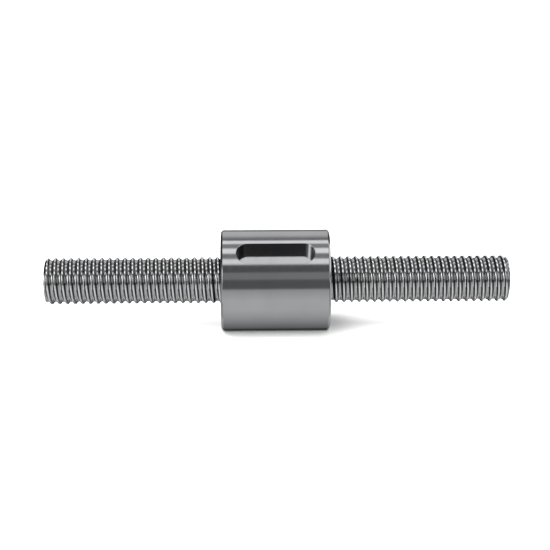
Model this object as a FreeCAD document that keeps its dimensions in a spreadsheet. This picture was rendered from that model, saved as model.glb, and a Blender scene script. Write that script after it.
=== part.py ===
import FreeCAD, Part
import math
import os

import Sketcher
from FreeCAD import Placement, Rotation, Vector

# Ball screw, 12 mm across with 2 mm of lead, and its cylindrical keyed nut.
# X runs along the screw and the origin is the middle of the nut. Each piece is drawn with the
# keyway at +Z, and the whole assembly is then turned about X by keyway_clock.

# Driving sizes in millimetres, degrees and turns
SIZES = {
    "screw_diameter": 12.0,
    "screw_length": 120.0,
    "screw_chamfer": 0.6,
    "screw_offset": 0.5,
    "lead": 2.0,
    "ball_diameter": 1.2,
    "ball_circle": 12.3,
    "ball_gap": 0.16,
    "ball_spacing": 0.03,
    "nut_diameter": 26.0,
    "nut_length": 28.0,
    "nut_chamfer": 0.5,
    "nut_bore": 13.0,
    "keyway_width": 6.0,
    "keyway_length": 20.0,
    "keyway_depth": 3.5,
    "keyway_clock": 45.0,
    "circuits": 4,
    "circuit_turns": 7 / 3,
    "return_clock": -53.0,
    "return_half_angle": 27.0,
    "land_gap": 0.18,
    "deflector_width": 4.4,
    "deflector_length": 9.0,
    "deflector_reach": 9.0,
    "deflector_gap": 0.03,
    "seat_diameter": 17.0,
    "seat_depth": 4.0,
    "seat_chamfer": 0.3,
    "wiper_bore": 12.6,
    "wiper_lip": 0.6,
    "wiper_gap": 0.15,
    "ring_groove_diameter": 17.8,
    "ring_groove_width": 1.1,
    "ring_inset": 0.6,
    "ring_gap": 0.05,
    "ring_width": 1.3,
    "ring_opening": 2.4,
    "ring_ear_radius": 1.1,
    "ring_hole_radius": 0.55,
}

doc = FreeCAD.newDocument("BallScrew")
sheet = doc.addObject("Spreadsheet::Sheet", "Sizes")
for row, (alias, number) in enumerate(SIZES.items(), start=1):
    sheet.set(f"A{row}", alias.replace("_", " "))
    sheet.set(f"B{row}", repr(number))
    sheet.setAlias(f"B{row}", alias)
doc.recompute()


def worked_out(expression):
    return float(sheet.evalExpression(expression))


# Expressions that several pieces share
GROOVE_RADIUS = "(Sizes.ball_diameter / 2 + Sizes.ball_gap)"
TRACK_RADIUS = "(Sizes.ball_circle / 2)"
FIRST_RETURN = "(-(Sizes.circuits - 1) / 2 * Sizes.circuit_turns * Sizes.lead)"
GROOVE_PHASE = f"({FIRST_RETURN} - Sizes.lead * (Sizes.return_clock / 360 + 1 / 2))"
RACEWAY_HALF = "(Sizes.nut_length / 2 - Sizes.seat_depth)"
RING_FACE = (
    "(Sizes.nut_length / 2 - Sizes.ring_inset - Sizes.ring_groove_width + Sizes.ring_gap)"
)
RING_THICKNESS = "(Sizes.ring_groove_width - 2 * Sizes.ring_gap)"
RING_OUTER = "(Sizes.ring_groove_diameter / 2 - Sizes.ring_gap)"
RING_INNER = f"({RING_OUTER} - Sizes.ring_width)"

ALONG_X = Rotation(Vector(0, 1, 0), 90)
END_FOR_END = Placement(Vector(), Rotation(Vector(0, 0, 1), 180))
CLOCKED = Placement(Vector(), Rotation(Vector(1, 0, 0), worked_out("Sizes.keyway_clock")))


# Sketches
def new_sketch(body, name, role):
    sketch = body.newObject("Sketcher::SketchObject", name)
    plane = next(o for o in body.Origin.OriginFeatures if o.Role == role)
    sketch.AttachmentSupport = [(plane, "")]
    sketch.MapMode = "FlatFace"
    return sketch


def hold(sketch, constraint, expression):
    index = sketch.addConstraint(constraint)
    sketch.setExpression(f"Constraints[{index}]", expression)


def draw_outline(sketch, corners):
    """A closed outline of lines, with each corner held at its own pair of expressions."""
    places = [Vector(worked_out(across), worked_out(up), 0) for across, up in corners]
    following = [*range(1, len(corners)), 0]
    for n, place in enumerate(places):
        sketch.addGeometry(Part.LineSegment(place, places[following[n]]))
    for n, (across, up) in enumerate(corners):
        sketch.addConstraint(Sketcher.Constraint("Coincident", n, 2, following[n], 1))
        hold(sketch, Sketcher.Constraint("DistanceX", -1, 1, n, 1, places[n].x), across)
        if up == "0":
            sketch.addConstraint(Sketcher.Constraint("PointOnObject", n, 1, -1))
        else:
            hold(sketch, Sketcher.Constraint("DistanceY", -1, 1, n, 1, places[n].y), up)


def draw_circle(sketch, across, up, radius):
    centre = Vector(worked_out(across), worked_out(up), 0)
    sketch.addGeometry(Part.Circle(centre, Vector(0, 0, 1), worked_out(radius)))
    hold(sketch, Sketcher.Constraint("DistanceX", -1, 1, 0, 3, centre.x), across)
    hold(sketch, Sketcher.Constraint("DistanceY", -1, 1, 0, 3, centre.y), up)
    hold(sketch, Sketcher.Constraint("Radius", 0, worked_out(radius)), radius)


def draw_slot(sketch, length, width):
    """A slot with full-round ends, long along the sketch's own X and centred on its origin."""
    end_radius = worked_out(width) / 2
    reach = worked_out(length) / 2 - end_radius
    normal = Vector(0, 0, 1)
    right_end = Part.Circle(Vector(reach, 0, 0), normal, end_radius)
    left_end = Part.Circle(Vector(-reach, 0, 0), normal, end_radius)
    low, high = Vector(0, -end_radius, 0), Vector(0, end_radius, 0)
    across = Vector(reach, 0, 0)
    sketch.addGeometry(Part.LineSegment(low - across, low + across))
    sketch.addGeometry(Part.ArcOfCircle(right_end, -math.pi / 2, math.pi / 2))
    sketch.addGeometry(Part.LineSegment(high + across, high - across))
    sketch.addGeometry(Part.ArcOfCircle(left_end, math.pi / 2, 3 * math.pi / 2))
    for n in range(4):
        sketch.addConstraint(Sketcher.Constraint("Tangent", n, 2, (n + 1) % 4, 1))
    sketch.addConstraint(Sketcher.Constraint("Symmetric", 1, 3, 3, 3, -1, 1))
    sketch.addConstraint(Sketcher.Constraint("PointOnObject", 1, 3, -1))
    hold(sketch, Sketcher.Constraint("Radius", 1, end_radius), f"({width}) / 2")
    spread = f"({length}) - ({width})"
    hold(sketch, Sketcher.Constraint("DistanceX", 3, 3, 1, 3, 2 * reach), spread)


def turn(body, name, corners):
    """A turned form: the outline of axial place and radius, revolved about X."""
    sketch = new_sketch(body, f"{name}Outline", "XZ_Plane")
    draw_outline(sketch, corners)
    turned = body.newObject("PartDesign::Revolution", name)
    turned.Profile = sketch
    turned.ReferenceAxis = (sketch, ["H_Axis"])
    turned.Angle = 360
    doc.recompute()


def cut_ball_groove(body, half_length):
    """A right-hand groove for the balls: one turn, repeated past both ends of the stretch."""
    turns_each_way = f"(ceil(({half_length}) / Sizes.lead) + 1)"
    start = f"{GROOVE_PHASE} - round({GROOVE_PHASE} / Sizes.lead) * Sizes.lead"
    section = new_sketch(body, "GrooveSection", "XZ_Plane")
    first = f"{start} - {turns_each_way} * Sizes.lead"
    draw_circle(section, first, TRACK_RADIUS, GROOVE_RADIUS)
    groove = body.newObject("PartDesign::SubtractiveHelix", "GrooveTurn")
    groove.Profile = section
    groove.ReferenceAxis = (section, ["H_Axis"])
    groove.Mode = 0
    groove.setExpression("Pitch", "Sizes.lead")
    groove.setExpression("Height", "Sizes.lead")
    doc.recompute()
    turns = body.newObject("PartDesign::LinearPattern", "GrooveTurns")
    turns.Originals = [groove]
    turns.Direction = (section, ["H_Axis"])
    turns.setExpression("Length", f"(2 * {turns_each_way} - 1) * Sizes.lead")
    turns.setExpression("Occurrences", f"2 * {turns_each_way}")
    body.Tip = turns
    doc.recompute()


def mirrored(corners):
    """The corners of one half, then the other half's in turn, about the middle plane."""
    return corners + [(f"-({across})", up) for across, up in reversed(corners)]


# The screw: a ground rod with chamfered ends and the ball groove along all of it
def make_screw():
    body = doc.addObject("PartDesign::Body", "Screw")
    radius = "Sizes.screw_diameter / 2"
    edge = f"{radius} - Sizes.screw_chamfer"
    right_end = "Sizes.screw_offset + Sizes.screw_length / 2"
    left_end = "Sizes.screw_offset - Sizes.screw_length / 2"
    turn(body, "Rod", [
        (f"{right_end} - Sizes.screw_chamfer", radius),
        (right_end, edge),
        (right_end, "0"),
        (left_end, "0"),
        (left_end, edge),
        (f"{left_end} + Sizes.screw_chamfer", radius),
    ])
    cut_ball_groove(body, "Sizes.screw_length / 2 + Sizes.screw_offset")
    return body


# The nut: a keyed sleeve with a raceway, a wiper seat in each end and a pocket for each return
def return_places():
    """Axial place and clock angle of each ball return, as expressions."""
    for n in range(int(worked_out("Sizes.circuits"))):
        axial = f"({FIRST_RETURN} + {n} * Sizes.circuit_turns * Sizes.lead)"
        clock = f"(Sizes.return_clock + {n} * 360 * Sizes.circuit_turns)"
        yield axial, clock


def cut_keyway(body):
    sketch = new_sketch(body, "KeywayOutline", "XY_Plane")
    draw_slot(sketch, "Sizes.keyway_length", "Sizes.keyway_width")
    floor = "Sizes.nut_diameter / 2 - Sizes.keyway_depth"
    sketch.setExpression("AttachmentOffset.Base.z", floor)
    keyway = body.newObject("PartDesign::Pocket", "Keyway")
    keyway.Profile = sketch
    keyway.Type = "Length"
    keyway.setExpression("Length", "Sizes.nut_diameter / 2")
    keyway.Reversed = True
    doc.recompute()


def cut_return_pocket(body, number, axial, clock):
    """The pocket that seats one deflector, cut outwards from the bore."""
    sketch = new_sketch(body, f"ReturnOutline{number}", "XY_Plane")
    length = "Sizes.deflector_length + 2 * Sizes.deflector_gap"
    width = "Sizes.deflector_width + 2 * Sizes.deflector_gap"
    draw_slot(sketch, length, width)
    outwards = Rotation(Vector(1, 0, 0), worked_out(clock))
    sketch.AttachmentOffset = Placement(Vector(), outwards * Rotation(Vector(0, 0, 1), 90))
    sketch.setExpression("AttachmentOffset.Base.x", axial)
    pocket = body.newObject("PartDesign::Pocket", f"ReturnPocket{number}")
    pocket.Profile = sketch
    pocket.Type = "Length"
    pocket.setExpression("Length", "Sizes.deflector_reach + Sizes.deflector_gap")
    pocket.Reversed = True
    doc.recompute()


def make_nut():
    body = doc.addObject("PartDesign::Body", "Nut")
    end = "Sizes.nut_length / 2"
    outer = "Sizes.nut_diameter / 2"
    seat = "Sizes.seat_diameter / 2"
    bore = "Sizes.nut_bore / 2"
    groove = "Sizes.ring_groove_diameter / 2"
    groove_mouth = f"{end} - Sizes.ring_inset"
    groove_back = f"{groove_mouth} - Sizes.ring_groove_width"
    turn(body, "Sleeve", mirrored([
        (f"{end} - Sizes.nut_chamfer", outer),
        (end, f"{outer} - Sizes.nut_chamfer"),
        (end, f"{seat} + Sizes.seat_chamfer"),
        (f"{end} - Sizes.seat_chamfer", seat),
        (groove_mouth, seat),
        (groove_mouth, groove),
        (groove_back, groove),
        (groove_back, seat),
        (RACEWAY_HALF, seat),
        (RACEWAY_HALF, bore),
    ]))
    cut_keyway(body)
    for number, (axial, clock) in enumerate(return_places(), start=1):
        cut_return_pocket(body, number, axial, clock)
    cut_ball_groove(body, RACEWAY_HALF)
    return body


# The ball path of one circuit, in the frame of its return, which is at +Z with its middle at x = 0.
# Shares of the return's angle: before a ball starts to cross, and while it is lifted
CROSSING_START = 0.15
RISE_SHARE = 0.35
# Steps along the whole path, and along the channel, which runs past the plug's ends
PATH_STEPS = 1440
CHANNEL_STEPS = 24
CHANNEL_OVERRUN = 1.25


def eased(share):
    share = min(max(share, 0), 1)
    return share * share * (3 - 2 * share)


def ball_place(angle):
    """Where a ball's centre is at an angle from the return, one turn of groove and the way back."""
    lead = worked_out("Sizes.lead")
    half = math.radians(worked_out("Sizes.return_half_angle"))
    share = min(max((angle + half) / (2 * half), 0), 1)
    crossing = eased((share - CROSSING_START) / (1 - 2 * CROSSING_START))
    rising = eased(min(share, 1 - share) / RISE_SHARE)
    track = worked_out(TRACK_RADIUS)
    over_land = worked_out("(Sizes.screw_diameter + Sizes.ball_diameter) / 2 + Sizes.land_gap")
    radius = track + (over_land - track) * rising
    axial = lead * (angle / (2 * math.pi) + 1 / 2 - crossing)
    return Vector(axial, -radius * math.sin(angle), radius * math.cos(angle))


def make_ball_ring():
    """The balls of one circuit, evenly spaced along its closed path."""
    angles = [2 * math.pi * (n / PATH_STEPS) - math.pi for n in range(PATH_STEPS + 1)]
    places = [ball_place(angle) for angle in angles]
    travelled = [0.0]
    for here, there in zip(places, places[1:]):
        travelled.append(travelled[-1] + here.distanceToPoint(there))
    pitch = worked_out("Sizes.ball_diameter + Sizes.ball_spacing")
    count = int(travelled[-1] / pitch)
    balls = []
    step = 0
    for n in range(count):
        target = travelled[-1] * n / count
        while travelled[step + 1] < target:
            step += 1
        balls.append(Part.makeSphere(worked_out("Sizes.ball_diameter / 2"), places[step]))
    return Part.makeCompound(balls)


def channel_section(angle):
    """A circle round the ball path, square to it."""
    step = 2 * math.pi / PATH_STEPS
    heading = ball_place(angle + step) - ball_place(angle - step)
    return Part.Wire([Part.makeCircle(worked_out(GROOVE_RADIUS), ball_place(angle), heading)])


def make_deflector():
    """A plug with the crossing channel that lifts the balls over the land, one turn back."""
    body = doc.addObject("PartDesign::Body", "DeflectorPlug")
    outline = new_sketch(body, "PlugOutline", "XY_Plane")
    draw_slot(outline, "Sizes.deflector_length", "Sizes.deflector_width")
    outline.AttachmentOffset = Placement(Vector(), Rotation(Vector(0, 0, 1), 90))
    plug = body.newObject("PartDesign::Pad", "Plug")
    plug.Profile = outline
    plug.setExpression("Length", "Sizes.deflector_reach")
    doc.recompute()
    bore_circle = new_sketch(body, "BoreCircle", "YZ_Plane")
    draw_circle(bore_circle, "0", "0", "Sizes.nut_bore / 2")
    bore = body.newObject("PartDesign::Pocket", "Bore")
    bore.Profile = bore_circle
    bore.Midplane = True
    bore.setExpression("Length", "2 * Sizes.deflector_width")
    doc.recompute()
    reach = math.asin(worked_out("Sizes.deflector_length / Sizes.nut_bore")) * CHANNEL_OVERRUN
    angles = [reach * (2 * n / CHANNEL_STEPS - 1) for n in range(CHANNEL_STEPS + 1)]
    channel = Part.makeLoft([channel_section(angle) for angle in angles], True)
    return body.Shape.cut(channel)


# Wipers and their retaining rings, drawn for the +X end
def make_wiper():
    body = doc.addObject("PartDesign::Body", "Wiper")
    inner = "Sizes.wiper_bore / 2"
    outer = "Sizes.seat_diameter / 2 - Sizes.wiper_gap"
    back = f"{RACEWAY_HALF} + Sizes.wiper_gap"
    front = f"{RING_FACE} - Sizes.wiper_gap"
    turn(body, "Felt", [
        (back, inner),
        (back, outer),
        (front, outer),
        (front, f"{inner} + Sizes.wiper_lip"),
        (f"{front} - Sizes.wiper_lip", inner),
    ])
    return body.Shape


def add_disc(name, radius, across="0", up="0"):
    """A disc as thick as the retaining ring, standing in its groove."""
    disc = doc.addObject("Part::Cylinder", name)
    disc.Placement = Placement(Vector(), ALONG_X)
    disc.setExpression("Radius", radius)
    disc.setExpression("Height", RING_THICKNESS)
    disc.setExpression("Placement.Base.x", RING_FACE)
    disc.setExpression("Placement.Base.y", across)
    disc.setExpression("Placement.Base.z", up)
    return disc


def add_boolean(kind, name, base, tools):
    joined = doc.addObject("Part::MultiFuse", f"{name}Tools")
    joined.Shapes = tools
    result = doc.addObject(kind, name)
    result.Base = base
    result.Tool = joined
    return result


def make_ring():
    """An internal retaining ring, open away from the keyway, with an eared hole at each end."""
    ear_across = "(Sizes.ring_opening / 2 + Sizes.ring_ear_radius)"
    ear_down = f"-sqrt(({RING_INNER}) ^ 2 - {ear_across} ^ 2)"
    sides = ("Left", f"-{ear_across}"), ("Right", ear_across)
    band = doc.addObject("Part::Cut", "RingBand")
    band.Base = add_disc("RingOuter", RING_OUTER)
    band.Tool = add_disc("RingInner", RING_INNER)
    blank = doc.addObject("Part::MultiFuse", "RingBlank")
    ears = [add_disc(f"Ear{side}", "Sizes.ring_ear_radius", at, ear_down) for side, at in sides]
    blank.Shapes = [band, *ears]
    opening = doc.addObject("Part::Box", "RingOpening")
    opening.setExpression("Length", RING_THICKNESS)
    opening.setExpression("Width", "Sizes.ring_opening")
    opening.setExpression("Height", RING_OUTER)
    opening.setExpression("Placement.Base.x", RING_FACE)
    opening.setExpression("Placement.Base.y", "-Sizes.ring_opening / 2")
    opening.setExpression("Placement.Base.z", f"-{RING_OUTER}")
    holes = [add_disc(f"Hole{side}", "Sizes.ring_hole_radius", at, ear_down) for side, at in sides]
    ring = add_boolean("Part::Cut", "Ring", blank, [opening, *holes])
    doc.recompute()
    return ring.Shape


# The assembly
def place(label, shape, where):
    piece = doc.addObject("Part::Feature", label)
    piece.Shape = shape
    piece.Label = label
    piece.Placement = CLOCKED * where
    return piece


def assemble():
    screw, nut = make_screw(), make_nut()
    screw.Label, nut.Label = "screw_shaft", "nut_body"
    screw.Placement = nut.Placement = CLOCKED
    pieces = [screw, nut]
    deflector, balls = make_deflector(), make_ball_ring()
    for number, (axial, clock) in enumerate(return_places(), start=1):
        turned = Rotation(Vector(1, 0, 0), worked_out(clock))
        where = Placement(Vector(worked_out(axial), 0, 0), turned)
        pieces.append(place(f"return_deflector_{number}", deflector, where))
        pieces.append(place(f"ball_circuit_{number}", balls, where))
    wiper, ring = make_wiper(), make_ring()
    for side, where in ("right", Placement()), ("left", END_FOR_END):
        pieces.append(place(f"wiper_{side}", wiper, where))
        pieces.append(place(f"retaining_ring_{side}", ring, where))
    doc.recompute()
    return pieces


def check(pieces):
    for item in doc.Objects:
        if "Invalid" in item.State or "Error" in item.State:
            raise RuntimeError(f"{item.Label} failed: {item.State}")
    for piece in pieces:
        if piece.Shape.isNull() or not piece.Shape.isValid():
            raise RuntimeError(f"{piece.Label} has no valid shape")


parts = assemble()
check(parts)
os.makedirs("parts", exist_ok=True)
for part in parts:
    part.Shape.exportStep(f"parts/{part.Label}.step")
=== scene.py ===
import math

import bmesh
import bpy
import numpy as np
from mathutils import Matrix, Vector


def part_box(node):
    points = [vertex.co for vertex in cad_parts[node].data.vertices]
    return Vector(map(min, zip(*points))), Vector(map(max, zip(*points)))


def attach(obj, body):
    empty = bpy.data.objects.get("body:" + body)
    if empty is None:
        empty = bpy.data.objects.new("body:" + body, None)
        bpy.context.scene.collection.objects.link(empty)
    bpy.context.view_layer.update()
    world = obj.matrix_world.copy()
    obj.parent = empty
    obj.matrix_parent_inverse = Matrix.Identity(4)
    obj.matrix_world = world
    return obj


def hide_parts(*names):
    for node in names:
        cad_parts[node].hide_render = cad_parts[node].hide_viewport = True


# A ball screw with its keyed nut, in ground steel. X runs along the screw, and the origin is the
# middle of the nut. Angles about the screw start at +Z and go towards -Y, the viewer's side.

MM = 0.001

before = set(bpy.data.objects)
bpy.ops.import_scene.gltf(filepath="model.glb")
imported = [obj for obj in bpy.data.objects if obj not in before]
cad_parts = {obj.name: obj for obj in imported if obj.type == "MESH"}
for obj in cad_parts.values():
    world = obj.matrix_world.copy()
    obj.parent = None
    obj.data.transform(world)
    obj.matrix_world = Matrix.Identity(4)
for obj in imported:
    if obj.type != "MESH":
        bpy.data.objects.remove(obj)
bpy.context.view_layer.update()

# Degrees about the screw: the keyway, and the first ball return counted from the keyway
KEYWAY_DEGREES = 45
RETURN_DEGREES = -53

# The screw and its ball groove
SCREW_RADIUS = 6.0 * MM
SCREW_LEFT, SCREW_RIGHT = (corner.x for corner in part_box("screw_shaft"))
SCREW_CHAMFER = 0.6 * MM
SCREW_COLUMNS = 80
LEAD = 2.0 * MM
TRACK_RADIUS = 6.15 * MM
GROOVE_RADIUS = 0.76 * MM
GROOVE_MOUTH = math.sqrt(GROOVE_RADIUS ** 2 - (TRACK_RADIUS - SCREW_RADIUS) ** 2)
GROOVE_START = -LEAD * (RETURN_DEGREES + KEYWAY_DEGREES) / 360
CREST_ROUND = 0.24 * MM
LAND_CROWN = 0.026 * MM

# Points across the groove: along a share of its arc, and over the rounding of its crests
ARC_POINTS = 9
ARC_SHARE = 0.9
CREST_SHARES = np.array([0, 0.3, 0.65, 1])
SPARE_TURNS = 2

# The nut
NUT_RADIUS = 13.0 * MM
NUT_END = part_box("nut_body")[1].x
NUT_CHAMFER = 0.5 * MM
NUT_BORE_RADIUS = 6.5 * MM
NUT_COLUMNS = 192
NUT_SIDE_POINTS = 29
RACEWAY_END = NUT_END - 4.0 * MM
SEAT_RADIUS = 8.5 * MM
SEAT_CHAMFER = 0.3 * MM
RING_GROOVE_RADIUS = 8.9 * MM
RING_GROOVE_MOUTH = NUT_END - 0.6 * MM
RING_GROOVE_BACK = RING_GROOVE_MOUTH - 1.1 * MM
EDGE_ROUND = 0.14 * MM
ROUND_STEPS = 4
# The least length of a side, as a multiple of the rounding at its end
SIDE_PER_ROUND = 2.2

# The keyway in the nut
KEYWAY_CLOCK = math.radians(KEYWAY_DEGREES)
KEYWAY_OUT = Vector((0, -math.sin(KEYWAY_CLOCK), math.cos(KEYWAY_CLOCK)))
KEYWAY_ACROSS = Vector((0, math.cos(KEYWAY_CLOCK), math.sin(KEYWAY_CLOCK)))
KEYWAY_WIDTH = 6.0 * MM
KEYWAY_LENGTH = 20.0 * MM
KEYWAY_REACH = (KEYWAY_LENGTH - KEYWAY_WIDTH) / 2
KEYWAY_FLOOR = 9.5 * MM
KEYWAY_EDGE = 0.08 * MM
KEYWAY_EDGE_STEPS = 3
KEYWAY_ARC_STEPS = 32
CUTTER_CLEAR = 1.0 * MM
# The keyway's steels among the nut's materials, and the place along X where its right end starts
# The walls' steel is darkened as painted shade, and the right end's is lightened as a painted highlight
KEYWAY_SHADED_WALL = 1
KEYWAY_LIT_END_WALL = 2
KEYWAY_LIT_END_START = KEYWAY_LENGTH / 2 - KEYWAY_WIDTH / 3

# Tolerances: distances, an angle, and cosines that tell which way a face looks
SAME_PLACE = 0.0005 * MM
OUTSIDE_BAND = 4 * SAME_PLACE
ROUND_SIDE_BAND = 0.02 * MM
SHARP_ANGLE = math.radians(32)
ROUND_SIDE_COSINE = 0.995
FLOOR_COSINE = 0.99
WALL_COSINE = 0.05


# Geometry
def round_axis(x, radius, angle):
    """Points at axial places x, radii and angles about the screw."""
    return np.stack([x, -radius * np.sin(angle), radius * np.cos(angle)], axis=-1)


def soft_min(a, b, blend):
    """The smaller of two values, with the corner between them rounded."""
    near = np.maximum(blend - np.abs(a - b), 0) / blend
    return np.minimum(a, b) - near * near * blend / 4


def groove_samples():
    """Axial places across one lead, from the middle of one land to the next, closest at the crests."""
    steepest = ARC_SHARE * math.asin(GROOVE_MOUTH / GROOVE_RADIUS)
    arc = GROOVE_RADIUS * np.sin(np.linspace(-steepest, steepest, ARC_POINTS))
    crest = GROOVE_MOUTH + CREST_SHARES * CREST_ROUND
    return np.concatenate([-crest[::-1], arc, crest, [LEAD / 2]])


def groove_reach(offset):
    """How far the groove's round section reaches from its middle, at an axial offset from it."""
    return np.sqrt(np.maximum(GROOVE_RADIUS ** 2 - offset ** 2, 0))


def helical_wall(left, right, columns, radius_at):
    """A wall with the ball groove in it, as columns of points and the shift that closes the helix."""
    samples = groove_samples()
    first = math.floor(left / LEAD) - SPARE_TURNS
    last = math.ceil(right / LEAD) + SPARE_TURNS
    places = np.concatenate([samples + LEAD * n for n in range(first, last + 1)])
    angles = np.arange(columns)[:, None] * 2 * math.pi / columns
    middle = GROOVE_START + LEAD * angles / (2 * math.pi)
    x = np.clip(places[None, :] + middle, left, right)
    offset = x - middle
    offset -= LEAD * np.round(offset / LEAD)
    return x, radius_at(offset), angles, len(samples)


def strip_faces(columns, points, shift):
    """Quads between neighbouring columns; the last column meets the first, shifted along it."""
    faces = []
    for i in range(columns):
        nxt = (i + 1) % columns
        step = shift if nxt == 0 else 0
        for j in range(points - 1):
            low, high = min(j + step, points - 1), min(j + 1 + step, points - 1)
            faces.append((i * points + j, i * points + j + 1, nxt * points + high, nxt * points + low))
    return faces


def rounded(outline, radius):
    """An outline of axial places and radii with each inner corner rounded."""
    points = [Vector(p) for p in outline]
    result = [points[0]]
    for before, corner, after in zip(points, points[1:], points[2:]):
        back, ahead = before - corner, after - corner
        trim = min(radius, back.length / SIDE_PER_ROUND, ahead.length / SIDE_PER_ROUND)
        start = corner + back.normalized() * trim
        end = corner + ahead.normalized() * trim
        for n in range(ROUND_STEPS + 1):
            t = n / ROUND_STEPS
            result.append((1 - t) ** 2 * start + 2 * t * (1 - t) * corner + t * t * end)
    return result + [points[-1]]


def tidy(mesh):
    """Join doubled points, turn the faces outwards, and mark the sharp edges."""
    bm = bmesh.new()
    bm.from_mesh(mesh)
    bmesh.ops.remove_doubles(bm, verts=bm.verts, dist=SAME_PLACE)
    bmesh.ops.dissolve_degenerate(bm, edges=bm.edges, dist=SAME_PLACE)
    bmesh.ops.recalc_face_normals(bm, faces=bm.faces)
    for face in bm.faces:
        face.smooth = True
    for edge in bm.edges:
        edge.smooth = edge.calc_face_angle(0) < SHARP_ANGLE
    bm.to_mesh(mesh)
    bm.free()


def mesh_object(name, vertices, faces):
    """A closed mesh, tidied, as an object in the scene."""
    mesh = bpy.data.meshes.new(name)
    mesh.from_pydata(vertices, [], faces)
    piece = bpy.data.objects.new(name, mesh)
    bpy.context.scene.collection.objects.link(piece)
    tidy(mesh)
    return piece


def build_screw():
    """The rod with its groove, crowned lands and chamfered ends."""
    def radius_at(offset):
        from_middle = (LEAD / 2 - np.abs(offset)) / (LEAD / 2 - GROOVE_MOUTH)
        land = SCREW_RADIUS - LAND_CROWN * from_middle ** 2
        return soft_min(land, TRACK_RADIUS - groove_reach(offset), CREST_ROUND)

    x, radius, angles, shift = helical_wall(SCREW_LEFT, SCREW_RIGHT, SCREW_COLUMNS, radius_at)
    cone = SCREW_RADIUS - SCREW_CHAMFER + np.minimum(x - SCREW_LEFT, SCREW_RIGHT - x)
    radius = np.minimum(radius, cone)
    columns, points = x.shape
    vertices = list(round_axis(x, radius, angles).reshape(-1, 3))
    faces = strip_faces(columns, points, shift)
    for end, j in (SCREW_LEFT, 0), (SCREW_RIGHT, points - 1):
        middle = len(vertices)
        vertices.append((end, 0, 0))
        for i in range(columns):
            faces.append((i * points + j, (i + 1) % columns * points + j, middle))
    return mesh_object("screw", vertices, faces)


def keyway_cutter():
    """A prism with round ends, standing out from the axis at the keyway's angle, long along X."""
    half_width = KEYWAY_WIDTH / 2
    outline = []
    for side in (1, -1):
        for n in range(KEYWAY_ARC_STEPS + 1):
            turn = math.pi * (n / KEYWAY_ARC_STEPS - 0.5)
            along = KEYWAY_REACH + half_width * math.cos(turn)
            outline.append((side * along, side * half_width * math.sin(turn)))
    vertices = []
    for level in (KEYWAY_FLOOR, NUT_RADIUS + CUTTER_CLEAR):
        for along, across in outline:
            vertices.append(Vector((along, 0, 0)) + KEYWAY_ACROSS * across + KEYWAY_OUT * level)
    count = len(outline)
    faces = [tuple(range(count)), tuple(range(2 * count - 1, count - 1, -1))]
    for n in range(count):
        nxt = (n + 1) % count
        faces.append((n, n + count, nxt + count, nxt))
    return mesh_object("cutter", vertices, faces)


def cut(piece, cutter):
    """Take the cutter's shape out of a piece, and remove the cutter."""
    modifier = piece.modifiers.new("cut", "BOOLEAN")
    modifier.object = cutter
    modifier.operation = "DIFFERENCE"
    modifier.solver = "EXACT"
    seen = piece.evaluated_get(bpy.context.evaluated_depsgraph_get())
    mesh = bpy.data.meshes.new_from_object(seen)
    piece.modifiers.remove(modifier)
    piece.data = mesh
    bpy.data.objects.remove(cutter)


def on_outside(vertex):
    """Whether a point lies on the nut's round outside."""
    return abs(math.hypot(vertex.co.y, vertex.co.z) - NUT_RADIUS) < OUTSIDE_BAND


def ease_keyway_rim(mesh):
    """A small round edge where the keyway breaks through the nut's outside."""
    bm = bmesh.new()
    bm.from_mesh(mesh)
    rim = []
    for edge in bm.edges:
        if all(on_outside(v) for v in edge.verts) and edge.calc_face_angle(0) > SHARP_ANGLE:
            rim.append(edge)
    bmesh.ops.bevel(
        bm, geom=rim, offset=KEYWAY_EDGE, segments=KEYWAY_EDGE_STEPS, profile=0.5, affect="EDGES"
    )
    bm.to_mesh(mesh)
    bm.free()
    tidy(mesh)


def build_nut():
    """The nut turned as one ring with the raceway in its bore, then its keyway cut."""
    def radius_at(offset):
        return -soft_min(-NUT_BORE_RADIUS, -TRACK_RADIUS - groove_reach(offset), CREST_ROUND)

    x, radius, angles, shift = helical_wall(-RACEWAY_END, RACEWAY_END, NUT_COLUMNS, radius_at)
    columns, points = x.shape
    vertices = list(round_axis(x, radius, angles).reshape(-1, 3))
    faces = strip_faces(columns, points, shift)
    half = [
        (RACEWAY_END, NUT_BORE_RADIUS),
        (RACEWAY_END, SEAT_RADIUS),
        (RING_GROOVE_BACK, SEAT_RADIUS),
        (RING_GROOVE_BACK, RING_GROOVE_RADIUS),
        (RING_GROOVE_MOUTH, RING_GROOVE_RADIUS),
        (RING_GROOVE_MOUTH, SEAT_RADIUS),
        (NUT_END - SEAT_CHAMFER, SEAT_RADIUS),
        (NUT_END, SEAT_RADIUS + SEAT_CHAMFER),
        (NUT_END, NUT_RADIUS - NUT_CHAMFER),
        (NUT_END - NUT_CHAMFER, NUT_RADIUS),
        (0, NUT_RADIUS),
    ]
    right = rounded(half, EDGE_ROUND)[1:-1]
    side_places = np.linspace(right[-1].x, -right[-1].x, NUT_SIDE_POINTS)[1:-1]
    side = [Vector((place, NUT_RADIUS)) for place in side_places]
    outside = right + side + [Vector((-p.x, p.y)) for p in reversed(right)]
    base = len(vertices)
    rows = len(outside) + 2
    for i in range(columns):
        column = np.array([(RACEWAY_END, radius[i, -1]), *outside, (-RACEWAY_END, radius[i, 0])])
        vertices += list(round_axis(column[:, 0], column[:, 1], angles[i]))
    faces += [tuple(base + n for n in face) for face in strip_faces(columns, rows, 0)]
    nut = mesh_object("nut", vertices, faces)
    cut(nut, keyway_cutter())
    ease_keyway_rim(nut.data)
    return nut


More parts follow.
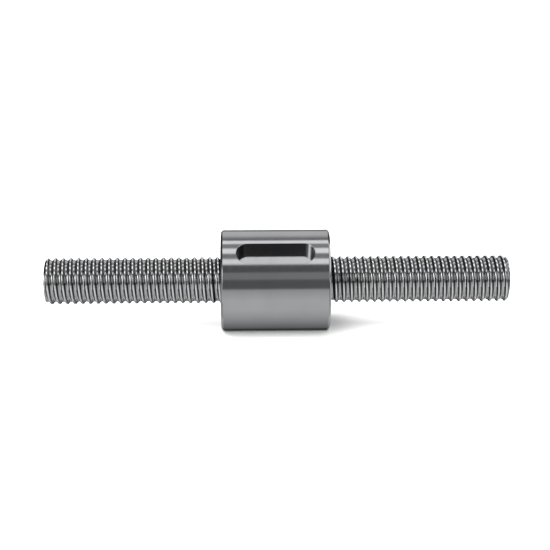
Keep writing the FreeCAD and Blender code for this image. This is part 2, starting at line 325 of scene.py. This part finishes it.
def mark_keyway_walls(mesh):
    """Painted shade on the keyway's walls, a painted highlight on its right end; its floor has the nut's
    steel.
    """
    for face in mesh.polygons:
        in_width = abs(face.center.dot(KEYWAY_ACROSS)) < KEYWAY_WIDTH / 2 + SAME_PLACE
        in_length = abs(face.center.x) < KEYWAY_LENGTH / 2 + SAME_PLACE
        in_depth = face.center.dot(KEYWAY_OUT) > KEYWAY_FLOOR - SAME_PLACE
        upright = abs(face.normal.dot(KEYWAY_OUT)) < WALL_COSINE
        if in_width and in_length and in_depth and upright:
            face.material_index = KEYWAY_LIT_END_WALL if face.center.x > KEYWAY_LIT_END_START else KEYWAY_SHADED_WALL


def keyway_normal(place):
    """The direction into the slot from a point on its walls."""
    past_end = place.x - min(max(place.x, -KEYWAY_REACH), KEYWAY_REACH)
    return -(Vector((past_end, 0, 0)) + KEYWAY_ACROSS * place.dot(KEYWAY_ACROSS)).normalized()


def on_round_side(face):
    """Whether a face lies on the nut's round outside."""
    middle = Vector((0, face.center.y, face.center.z))
    looks_out = face.normal.dot(middle.normalized()) > ROUND_SIDE_COSINE
    return looks_out and middle.length > NUT_RADIUS - ROUND_SIDE_BAND


def on_keyway_floor(face):
    """Whether a face looks straight out through the keyway, from its floor or from below it."""
    looks_out = face.normal.dot(KEYWAY_OUT) > FLOOR_COSINE
    return looks_out and face.center.dot(KEYWAY_OUT) < KEYWAY_FLOOR + SAME_PLACE


def true_normals(mesh):
    """Exact normals on the nut's round outside and in its keyway, so that their gloss is even."""
    normals = [(0, 0, 0)] * len(mesh.loops)
    for face in mesh.polygons:
        wall = face.material_index in (KEYWAY_SHADED_WALL, KEYWAY_LIT_END_WALL)
        round_side = on_round_side(face)
        floor = on_keyway_floor(face)
        for loop in face.loop_indices:
            place = mesh.vertices[mesh.loops[loop].vertex_index].co
            if wall:
                normals[loop] = keyway_normal(place)
            elif round_side:
                normals[loop] = Vector((0, place.y, place.z)).normalized()
            elif floor:
                normals[loop] = KEYWAY_OUT
    mesh.normals_split_custom_set(normals)


# Shader nodes
def feed(tree, socket, value):
    """Set a number or a colour on a socket, or link another node's output to it."""
    if isinstance(value, bpy.types.NodeSocket):
        tree.links.new(value, socket)
    elif isinstance(value, tuple):
        socket.default_value = (*value, 1)
    else:
        socket.default_value = value


def math_node(tree, operation, *values):
    """The result of a sum or function of numbers and other nodes' outputs."""
    node = tree.nodes.new("ShaderNodeMath")
    node.operation = operation
    for socket, value in zip(node.inputs, values):
        feed(tree, socket, value)
    return node.outputs["Value"]


def mix_colours(tree, share, first, second, blend="MIX"):
    """Two colours mixed, multiplied or added, by a share."""
    mix = tree.nodes.new("ShaderNodeMix")
    mix.data_type = "RGBA"
    mix.blend_type = blend
    for name, value in ("Factor", share), ("A", first), ("B", second):
        feed(tree, mix.inputs[name], value)
    return mix.outputs["Result"]


def ease_between(tree, value, low, high):
    """0 below one value, 1 above another, with a smooth step between."""
    ease = tree.nodes.new("ShaderNodeMapRange")
    ease.interpolation_type = "SMOOTHSTEP"
    ease.inputs["From Min"].default_value = low
    ease.inputs["From Max"].default_value = high
    tree.links.new(value, ease.inputs["Value"])
    return ease.outputs["Result"]


def grey_ramp(tree, value, stops):
    """Greys by a value from 0 to 1, from places in rising order and their brightness."""
    ramp = tree.nodes.new("ShaderNodeValToRGB")
    elements = ramp.color_ramp.elements
    elements.remove(elements[1])
    for n, (spot, level) in enumerate(stops):
        stop = elements.new(spot) if n else elements[0]
        stop.position = spot
        stop.color = (level, level, level, 1)
    tree.links.new(value, ramp.inputs["Fac"])
    return ramp.outputs["Color"]


# Materials

# Most of a noise texture's values lie between these two
NOISE_LOW = 0.3
NOISE_HIGH = 0.7

# Ground steel: features a metre along and across the screw, and the grinding lines' relief
GRINDING_LINES = (9000, 60, 60)
STEEL_DRIFT = (120, 90, 90)
GRINDING_DEPTH = 0.002 * MM
GRINDING_STRENGTH = 0.15

# How bright the thread is painted by radius in millimetres: the ball track, the flanks and the lands.
# The flanks carry painted shade and the lands a painted highlight; the ball track is dimmed too.
THREAD_PAINTED_LIGHT = [(5.38, 0.63), (5.5, 0.63), (5.57, 0.16), (5.92, 0.14), (5.982, 1.0), (6.02, 1.0)]


def new_material(name, **settings):
    """A material of its own, with plain settings put straight on the shader."""
    material = bpy.data.materials.new(name)
    material.use_nodes = True
    tree = material.node_tree
    shader = tree.nodes["Principled BSDF"]
    for socket, value in settings.items():
        shader.inputs[socket.replace("_", " ")].default_value = value
    return material, tree, shader


def noise_lines(tree, scale, detail=3.0):
    """Noise in the piece's own frame, with its scale set along each axis in features a metre."""
    place = tree.nodes.new("ShaderNodeTexCoord")
    stretch = tree.nodes.new("ShaderNodeMapping")
    stretch.inputs["Scale"].default_value = scale
    noise = tree.nodes.new("ShaderNodeTexNoise")
    noise.inputs["Scale"].default_value = 1.0
    noise.inputs["Detail"].default_value = detail
    tree.links.new(place.outputs["Object"], stretch.inputs["Vector"])
    tree.links.new(stretch.outputs["Vector"], noise.inputs["Vector"])
    return noise.outputs["Fac"]


def spread(tree, noise, low, high):
    """Noise values spread over a range."""
    stretch = tree.nodes.new("ShaderNodeMapRange")
    stretch.inputs["From Min"].default_value = NOISE_LOW
    stretch.inputs["From Max"].default_value = NOISE_HIGH
    stretch.inputs["To Min"].default_value = low
    stretch.inputs["To Max"].default_value = high
    tree.links.new(noise, stretch.inputs["Value"])
    return stretch.outputs["Result"]


def set_colour(tree, shader, noise, dark, light):
    """A colour between two, by noise."""
    colour = mix_colours(tree, spread(tree, noise, 0, 1), dark, light)
    tree.links.new(colour, shader.inputs["Base Color"])


def set_roughness(tree, shader, noise, smooth, rough):
    """A roughness between two, by noise."""
    tree.links.new(spread(tree, noise, smooth, rough), shader.inputs["Roughness"])


def add_bump(tree, shader, noise, height, strength):
    """Noise felt as relief."""
    bump = tree.nodes.new("ShaderNodeBump")
    bump.inputs["Strength"].default_value = strength
    bump.inputs["Distance"].default_value = height
    tree.links.new(noise, bump.inputs["Height"])
    tree.links.new(bump.outputs["Normal"], shader.inputs["Normal"])


def ground_steel(name, dark, light, smooth, rough):
    """Ground steel: fine lines round the axis in its gloss and relief, and a slow drift of tone."""
    material, tree, shader = new_material(name, Metallic=1.0)
    lines = noise_lines(tree, GRINDING_LINES)
    drift = noise_lines(tree, STEEL_DRIFT, detail=2.0)
    set_colour(tree, shader, drift, dark, light)
    set_roughness(tree, shader, lines, smooth, rough)
    add_bump(tree, shader, lines, GRINDING_DEPTH, GRINDING_STRENGTH)
    return material


def add_painted_thread_light(material, painted_levels):
    """Painted tones by radius about the axis: groove floor, painted shade on flanks, painted highlight
    on lands.
    """
    tree = material.node_tree
    colour = tree.nodes["Principled BSDF"].inputs["Base Color"]
    place = tree.nodes.new("ShaderNodeTexCoord")
    axes = tree.nodes.new("ShaderNodeSeparateXYZ")
    tree.links.new(place.outputs["Object"], axes.inputs["Vector"])
    squares = [math_node(tree, "MULTIPLY", axes.outputs[axis], axes.outputs[axis]) for axis in "YZ"]
    radius = math_node(tree, "SQRT", math_node(tree, "ADD", *squares))
    low, high = painted_levels[0][0], painted_levels[-1][0]
    above_low = math_node(tree, "SUBTRACT", radius, low * MM)
    share = math_node(tree, "DIVIDE", above_low, (high - low) * MM)
    tone = grey_ramp(tree, share, [((spot - low) / (high - low), level) for spot, level in painted_levels])
    toned = mix_colours(tree, 1, colour.links[0].from_socket, tone, "MULTIPLY")
    tree.links.new(toned, colour)


def felt():
    material, tree, shader = new_material("felt", Roughness=0.95, Sheen_Weight=0.3)
    fibres = noise_lines(tree, (5000, 5000, 5000), detail=6.0)
    set_colour(tree, shader, fibres, dark=(0.012, 0.012, 0.013), light=(0.05, 0.05, 0.052))
    add_bump(tree, shader, fibres, height=0.08 * MM, strength=0.8)
    return material


def phosphated_steel():
    material, tree, shader = new_material("phosphated_steel", Metallic=1.0)
    grain = noise_lines(tree, (4000, 4000, 4000))
    set_colour(tree, shader, grain, dark=(0.05, 0.05, 0.055), light=(0.09, 0.09, 0.095))
    set_roughness(tree, shader, grain, smooth=0.35, rough=0.5)
    return material


def polished_steel():
    material, tree, shader = new_material("polished_steel", Metallic=1.0)
    drift = noise_lines(tree, (900, 900, 900))
    set_colour(tree, shader, drift, dark=(0.66, 0.67, 0.69), light=(0.72, 0.73, 0.75))
    set_roughness(tree, shader, drift, smooth=0.04, rough=0.08)
    return material


def moulded_plastic():
    material, tree, shader = new_material("moulded_plastic", Subsurface_Weight=0.1)
    shader.inputs["Subsurface Radius"].default_value = (MM, MM, MM)
    grain = noise_lines(tree, (3000, 3000, 3000))
    set_colour(tree, shader, grain, dark=(0.78, 0.77, 0.72), light=(0.86, 0.85, 0.81))
    set_roughness(tree, shader, grain, smooth=0.4, rough=0.55)
    return material


def dress(piece, *materials):
    """Give a piece its materials; all its faces then have the first."""
    piece.data.materials.clear()
    for material in materials:
        piece.data.materials.append(material)


# Pieces
screw = build_screw()
screw_steel = ground_steel(
    "screw_steel", dark=(0.93, 0.94, 0.96), light=(0.96, 0.97, 0.98), smooth=0.05, rough=0.09
)
# Painted shade on the thread's flanks and a painted highlight on its lands
add_painted_thread_light(screw_steel, THREAD_PAINTED_LIGHT)
dress(screw, screw_steel)
screw.visible_shadow = False
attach(screw, "screw")
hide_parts("screw_shaft")

nut = build_nut()
nut_steel = ground_steel(
    "nut_steel", dark=(0.53, 0.535, 0.55), light=(0.57, 0.575, 0.59), smooth=0.1, rough=0.15
)
# Copies of the nut's steel for the keyway: darker on the walls as painted shade, lighter at the right
# end as a painted highlight
keyway_shade_steel = ground_steel(
    "keyway_shade_steel", dark=(0.15, 0.15, 0.153), light=(0.18, 0.18, 0.183), smooth=0.1, rough=0.16
)
keyway_end_lit_steel = ground_steel(
    "keyway_end_lit_steel", dark=(0.56, 0.56, 0.568), light=(0.6, 0.6, 0.61), smooth=0.1, rough=0.16
)
dress(nut, nut_steel, keyway_shade_steel, keyway_end_lit_steel)
mark_keyway_walls(nut.data)
true_normals(nut.data)
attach(nut, "nut")
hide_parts("nut_body")

FINISHES = {
    "wiper": felt(),
    "retaining_ring": phosphated_steel(),
    "ball_circuit": polished_steel(),
    "return_deflector": moulded_plastic(),
}
for node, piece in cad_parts.items():
    for kind, material in FINISHES.items():
        if node.startswith(kind):
            dress(piece, material)

# Studio: floor, backdrop, lights and camera
FLOOR_SIZE = 8.0
FLOOR_LEVEL = -NUT_RADIUS
CONTACT_REACH = 0.5 * MM
BACKDROP_RADIUS = 0.48 * FLOOR_SIZE
BACKDROP_SIDES = 96

# The studio round the screw's axis, as zones between two angles with their brightness. Angles go
# from the viewer's horizon at 0 over the top to the far horizon at 180, and are negative below it.
STUDIO_ZONES = [
    ("floor far behind", -180, -152, 0.02),
    ("floor behind", -143, -143, 0.085),
    ("floor just behind", -130, -130, 0.175),
    ("floor under the far side", -115, -115, 0.255),
    ("floor under the screw", -96, -96, 0.4),
    ("floor under the near side", -81, -81, 0.51),
    ("lit floor", -59, -36, 0.63),
    ("floor in front", -10, -10, 0.46),
    ("dark round the camera", -7, 12, 0.126),
    ("wall above the camera", 15, 29, 0.265),
    ("dark below the front strip", 31, 47, 0.115),
    ("front strip light", 50, 61, 1.08),
    ("first gap", 63, 74.5, 0.26),
    ("top strip light", 77.5, 89, 1.18),
    ("second gap", 91, 103, 0.3),
    ("rear strip light", 105, 114, 1.16),
    ("dark behind the rear strip", 116, 121, 0.2),
    ("rear wall", 136, 158, 0.64),
    ("far horizon", 164, 180, 0.26),
]
# How far to the left and right the zones reach above and below the horizon, as sines: where they
# start to fade, where they end, and the brightness beyond
LIT_REACH = 0.27
DARK_FROM = 0.42
SIDE_BRIGHTNESS = 0.06
FLOOR_REACH = 0.45
FLOOR_DARK_FROM = 0.8
FLOOR_SIDE_BRIGHTNESS = 0.1
# The sine of the angle below the horizon over which the one reach gives way to the other
HORIZON_BLEND = 0.12
# Lit patches, as degrees to the left of the viewer, degrees up, and the brightness that they add
WINDOWS = [
    ("left window", (41, 57), (0, 35), 3.1),
    ("upper pane of the left window", (22, 41), (18, 37), 1.6),
    ("gleam of the left window on the floor", (42, 60), (-36, 6), 1.5),
    ("pale wall to the left", (54, 86), (0, 31), 1.2),
    ("lit floor below to the left", (95, 150), (-78, -56), 0.4),
    ("lit floor below to the right", (-150, -95), (-78, -56), 0.4),
    ("floor at the far left", (84, 135), (-45, -2), 0.35),
    ("floor behind to the left", (124, 168), (-56, -12), 0.32),
    ("floor behind to the right", (-168, -124), (-56, -12), 0.32),
    ("pale ceiling to the right", (-150, -35), (42, 84), 0.16),
    ("pale wall to the right", (-90, -42), (0, 31), 0.6),
    ("pale wall at the far right", (-135, -84), (4, 40), 1.0),
    ("floor at the far right", (-135, -84), (-45, 4), 0.5),
]
WINDOW_EDGE = 5


def deepen_contact(tree, shader):
    """A deeper shadow close to where a piece touches the floor."""
    near = tree.nodes.new("ShaderNodeAmbientOcclusion")
    near.inputs["Distance"].default_value = CONTACT_REACH
    tree.links.new(shader.inputs["Base Color"].links[0].from_socket, near.inputs["Color"])
    tree.links.new(near.outputs["Color"], shader.inputs["Base Color"])


def build_floor():
    """A pale floor under the nut, kept out of the gloss, which has the studio's own floor."""
    bpy.ops.mesh.primitive_plane_add(size=FLOOR_SIZE, location=(0, 0, FLOOR_LEVEL))
    floor = bpy.context.active_object
    floor.name = "floor"
    material, tree, shader = new_material("pale_floor", Roughness=0.9, Specular_IOR_Level=0.1)
    grain = noise_lines(tree, (6, 6, 6))
    set_colour(tree, shader, grain, dark=(0.9, 0.9, 0.9), light=(0.92, 0.92, 0.92))
    deepen_contact(tree, shader)
    dress(floor, material)
    floor.visible_glossy = False


def build_backdrop():
    """A white wall all round near the floor's edge, seen from every side and kept out of the gloss."""
    bpy.ops.mesh.primitive_cylinder_add(
        vertices=BACKDROP_SIDES,
        radius=BACKDROP_RADIUS,
        depth=FLOOR_SIZE,
        end_fill_type="NOTHING",
        location=(0, 0, FLOOR_LEVEL + FLOOR_SIZE / 2),
    )
    backdrop = bpy.context.active_object
    backdrop.name = "backdrop"
    material, _, _ = new_material(
        "white_backdrop",
        Base_Color=(0, 0, 0, 1),
        Emission_Color=(1, 1, 1, 1),
        Emission_Strength=1.0,
        Specular_IOR_Level=0.0,
    )
    dress(backdrop, material)
    backdrop.visible_glossy = False
    backdrop.visible_diffuse = False
    backdrop.visible_shadow = False


def degrees_between(tree, rise, run):
    """The angle of a direction from its rise and run, in degrees."""
    return math_node(tree, "MULTIPLY", math_node(tree, "ARCTAN2", rise, run), 180 / math.pi)


def zone_ramp(tree, turn):
    """The brightness of the studio's zones at a turn about the screw's axis, in degrees."""
    stops = []
    for _, start, end, level in STUDIO_ZONES:
        stops += [(edge / 360 + 0.5, level) for edge in sorted({start, end})]
    return grey_ramp(tree, math_node(tree, "MULTIPLY_ADD", turn, 1 / 360, 0.5), stops)


def fade_aside(tree, zones, aside, reach, dark_from, level):
    """The zones, fading to one brightness far to the left and right."""
    return mix_colours(tree, ease_between(tree, aside, reach, dark_from), zones, (level, level, level))


def window_share(tree, value, span):
    """1 inside a span of degrees and 0 outside it, with soft edges."""
    low, high = span
    inside = ease_between(tree, value, low, low + WINDOW_EDGE)
    outside = ease_between(tree, value, high - WINDOW_EDGE, high)
    return math_node(tree, "SUBTRACT", inside, outside)


def build_world():
    """The studio that the steel reflects: the zones round the axis, and the lit patches over them."""
    world = bpy.data.worlds.new("studio")
    world.use_nodes = True
    bpy.context.scene.world = world
    tree = world.node_tree
    place = tree.nodes.new("ShaderNodeTexCoord")
    direction = tree.nodes.new("ShaderNodeSeparateXYZ")
    tree.links.new(place.outputs["Generated"], direction.inputs["Vector"])
    right, height = direction.outputs["X"], direction.outputs["Z"]
    towards = math_node(tree, "MULTIPLY", direction.outputs["Y"], -1)
    left = math_node(tree, "MULTIPLY", right, -1)
    height_squared = math_node(tree, "MULTIPLY", height, height)
    level = math_node(tree, "SQRT", math_node(tree, "SUBTRACT", 1, height_squared))
    zones = zone_ramp(tree, degrees_between(tree, height, towards))
    aside = math_node(tree, "ABSOLUTE", right)
    above = ease_between(tree, height, -HORIZON_BLEND, 0)
    over_floor = fade_aside(tree, zones, aside, FLOOR_REACH, FLOOR_DARK_FROM, FLOOR_SIDE_BRIGHTNESS)
    over_head = fade_aside(tree, zones, aside, LIT_REACH, DARK_FROM, SIDE_BRIGHTNESS)
    room = mix_colours(tree, above, over_floor, over_head)
    sideways = degrees_between(tree, left, towards)
    upwards = degrees_between(tree, height, level)
    for _, across, up, brightness in WINDOWS:
        across_share = window_share(tree, sideways, across)
        up_share = window_share(tree, upwards, up)
        pane = math_node(tree, "MULTIPLY", across_share, up_share)
        room = mix_colours(tree, 1, room, math_node(tree, "MULTIPLY", pane, brightness), "ADD")
    tree.links.new(room, tree.nodes["Background"].inputs["Color"])


def add_sun(name, left, up, width, strength):
    """A wide soft light from far off that casts the shadows on the floor, kept out of the gloss.

    Its place is in degrees to the left of the viewer and degrees up, and its width is in degrees.
    """
    light = bpy.data.lights.new(name, "SUN")
    light.angle = math.radians(width)
    light.energy = strength
    holder = bpy.data.objects.new(name, light)
    bpy.context.scene.collection.objects.link(holder)
    turn, rise = math.radians(left), math.radians(up)
    source = Vector((-math.sin(turn) * math.cos(rise), -math.cos(turn) * math.cos(rise), math.sin(rise)))
    holder.rotation_euler = (-source).to_track_quat("-Z", "Y").to_euler()
    holder.visible_glossy = False


def build_camera():
    """The photo's own view: a long lens a little above the screw, the left end slightly nearer."""
    frame_pixels = 550
    pixels_per_mm = 3.836
    distance_pixels = 1310
    elevation = math.radians(13.4)
    azimuth = math.radians(-0.945)
    roll = math.radians(-0.17)
    aim = Vector((-0.03 * MM, 0, 1.238 * MM))
    distance = distance_pixels / pixels_per_mm * MM
    out = Vector((math.sin(azimuth) * math.cos(elevation),
                  -math.cos(azimuth) * math.cos(elevation),
                  math.sin(elevation)))
    data = bpy.data.cameras.new("camera")
    data.sensor_width = 36
    data.lens = data.sensor_width * distance_pixels / frame_pixels
    data.clip_start = 0.01
    camera = bpy.data.objects.new("camera", data)
    bpy.context.scene.collection.objects.link(camera)
    camera.location = aim + out * distance
    level = (-out).to_track_quat("-Z", "Y").to_matrix()
    camera.rotation_euler = (level @ Matrix.Rotation(roll, 3, "Z")).to_euler()
    bpy.context.scene.camera = camera


build_floor()
build_backdrop()
build_world()
add_sun("left_key", left=76, up=69, width=36, strength=2.1)
add_sun("front_fill", left=7, up=46, width=100, strength=4.9)
build_camera()
bpy.context.scene.view_settings.view_transform = "Standard"
